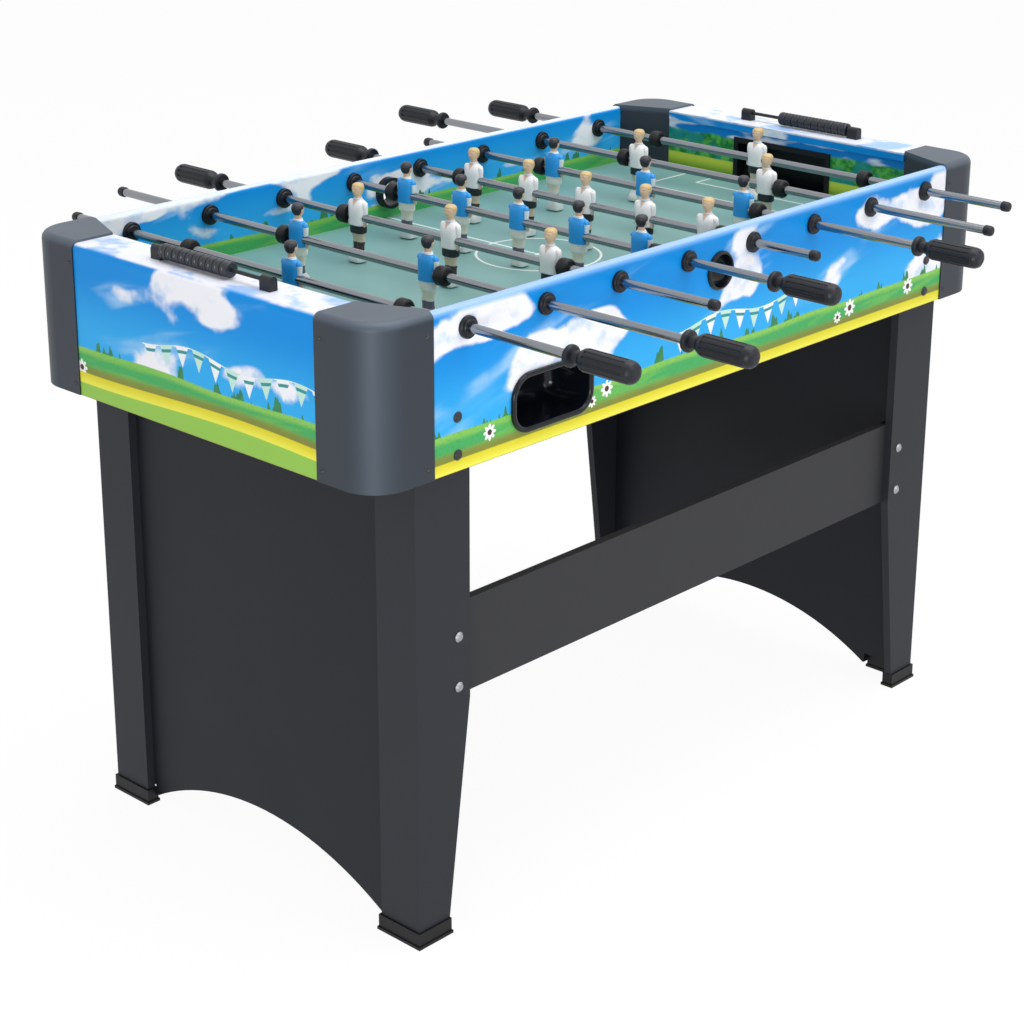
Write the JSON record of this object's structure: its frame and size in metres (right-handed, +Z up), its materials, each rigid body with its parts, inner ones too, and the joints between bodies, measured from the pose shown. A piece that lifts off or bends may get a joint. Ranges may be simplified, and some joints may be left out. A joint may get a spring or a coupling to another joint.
{
  "type": "foosball table",
  "caption": "Four-foot foosball table on L-shaped legs: sky-blue printed cabinet, black corner caps, sliding and turning player rods, goals, ball returns and bead counters.",
  "frame": {"origin": "on the floor, midway between the cabinet's ends and sides", "axes": "+X along the table towards the white team's goal, +Y across it, +Z up"},
  "size_m": [1.2132, 1.221, 0.824],
  "materials": {
    "printed_board": "printed laminate, satin",
    "goal_wall_board": "printed laminate, satin",
    "field_board": "printed laminate, satin",
    "cap_plastic": "satin",
    "black_plastic": "satin",
    "chute_board": "raw hardboard",
    "cup_plastic": "gloss",
    "leg_board": "dark laminate, satin",
    "foot_plastic": "satin",
    "bolt_steel": "zinc plated",
    "counter_metal": "satin black",
    "bead_plastic": "gloss",
    "rod_steel": "bright plated",
    "blue_team": "painted",
    "white_team": "painted",
    "grip_plastic": "soft satin",
    "bumper_rubber": "matt"
  },
  "bodies": {
    "cabinet": {"side_rail_near": "printed_board", "side_rail_far": "printed_board", "end_rail_left": "printed_board", "end_rail_right": "printed_board", "goal_wall_left": "goal_wall_board", "goal_wall_right": "goal_wall_board", "playfield": "field_board", "corner_caps": "cap_plastic", "goal_frame_left": "black_plastic", "goal_frame_right": "black_plastic", "ball_chute_left": "chute_board", "ball_chute_right": "chute_board", "return_cup_near": "cup_plastic", "return_cup_far": "cup_plastic", "ball_entry_cups": "cup_plastic", "rod_bearings": "black_plastic", "leg_near_left": "leg_board", "leg_far_left": "leg_board", "leg_near_right": "leg_board", "leg_far_right": "leg_board", "leg_panel_left": "leg_board", "leg_panel_right": "leg_board", "stretchers": "leg_board", "feet": "foot_plastic", "fasteners": "bolt_steel", "score_wires": "counter_metal"},
    "left_beads": {"score_beads_left": "bead_plastic"},
    "right_beads": {"score_beads_right": "bead_plastic"},
    "stops_1": {"bumpers_1": "bumper_rubber"},
    "player_rod_1": {"rod_1": "rod_steel", "players_1": "blue_team", "grip_1": "grip_plastic"},
    "stops_2": {"bumpers_2": "bumper_rubber"},
    "player_rod_2": {"rod_2": "rod_steel", "players_2": "blue_team", "grip_2": "grip_plastic"},
    "stops_3": {"bumpers_3": "bumper_rubber"},
    "player_rod_3": {"rod_3": "rod_steel", "players_3": "white_team", "grip_3": "grip_plastic"},
    "stops_4": {"bumpers_4": "bumper_rubber"},
    "player_rod_4": {"rod_4": "rod_steel", "players_4": "blue_team", "grip_4": "grip_plastic"},
    "stops_5": {"bumpers_5": "bumper_rubber"},
    "player_rod_5": {"rod_5": "rod_steel", "players_5": "white_team", "grip_5": "grip_plastic"},
    "stops_6": {"bumpers_6": "bumper_rubber"},
    "player_rod_6": {"rod_6": "rod_steel", "players_6": "blue_team", "grip_6": "grip_plastic"},
    "stops_7": {"bumpers_7": "bumper_rubber"},
    "player_rod_7": {"rod_7": "rod_steel", "players_7": "white_team", "grip_7": "grip_plastic"},
    "stops_8": {"bumpers_8": "bumper_rubber"},
    "player_rod_8": {"rod_8": "rod_steel", "players_8": "white_team", "grip_8": "grip_plastic"}
  },
  "joints": [
    {"name": "left_beads_slide", "type": "slide", "parent": "cabinet", "child": "left_beads", "axis": [0, 1, 0], "range_m": [-0.0547, 0.0007]},
    {"name": "right_beads_slide", "type": "slide", "parent": "cabinet", "child": "right_beads", "axis": [0, 1, 0], "range_m": [-0.0017, 0.0537]},
    {"name": "rod_1_slide", "type": "slide", "parent": "cabinet", "child": "stops_1", "axis": [0, 1, 0], "range_m": [-0.0706, 0.1046]},
    {"name": "rod_1_turn", "type": "hinge", "parent": "stops_1", "child": "player_rod_1", "pos_m": [-0.45675, 0, 0.777], "axis": [0, 1, 0], "continuous": true},
    {"name": "rod_2_slide", "type": "slide", "parent": "cabinet", "child": "stops_2", "axis": [0, 1, 0], "range_m": [-0.1371, 0.1371]},
    {"name": "rod_2_turn", "type": "hinge", "parent": "stops_2", "child": "player_rod_2", "pos_m": [-0.32625, 0, 0.777], "axis": [0, 1, 0], "continuous": true},
    {"name": "rod_3_slide", "type": "slide", "parent": "cabinet", "child": "stops_3", "axis": [0, 1, 0], "range_m": [-0.0551, 0.1091]},
    {"name": "rod_3_turn", "type": "hinge", "parent": "stops_3", "child": "player_rod_3", "pos_m": [-0.19575, 0, 0.777], "axis": [0, 1, 0], "continuous": true},
    {"name": "rod_4_slide", "type": "slide", "parent": "cabinet", "child": "stops_4", "axis": [0, 1, 0], "range_m": [-0.0191, 0.0671]},
    {"name": "rod_4_turn", "type": "hinge", "parent": "stops_4", "child": "player_rod_4", "pos_m": [-0.06525, 0, 0.777], "axis": [0, 1, 0], "continuous": true},
    {"name": "rod_5_slide", "type": "slide", "parent": "cabinet", "child": "stops_5", "axis": [0, 1, 0], "range_m": [-0.0171, 0.0691]},
    {"name": "rod_5_turn", "type": "hinge", "parent": "stops_5", "child": "player_rod_5", "pos_m": [0.06525, 0, 0.777], "axis": [0, 1, 0], "continuous": true},
    {"name": "rod_6_slide", "type": "slide", "parent": "cabinet", "child": "stops_6", "axis": [0, 1, 0], "range_m": [-0.0601, 0.1041]},
    {"name": "rod_6_turn", "type": "hinge", "parent": "stops_6", "child": "player_rod_6", "pos_m": [0.19575, 0, 0.777], "axis": [0, 1, 0], "continuous": true},
    {"name": "rod_7_slide", "type": "slide", "parent": "cabinet", "child": "stops_7", "axis": [0, 1, 0], "range_m": [-0.1201, 0.1541]},
    {"name": "rod_7_turn", "type": "hinge", "parent": "stops_7", "child": "player_rod_7", "pos_m": [0.32625, 0, 0.777], "axis": [0, 1, 0], "continuous": true},
    {"name": "rod_8_slide", "type": "slide", "parent": "cabinet", "child": "stops_8", "axis": [0, 1, 0], "range_m": [-0.0696, 0.1056]},
    {"name": "rod_8_turn", "type": "hinge", "parent": "stops_8", "child": "player_rod_8", "pos_m": [0.45675, 0, 0.777], "axis": [0, 1, 0], "continuous": true}
  ]
}
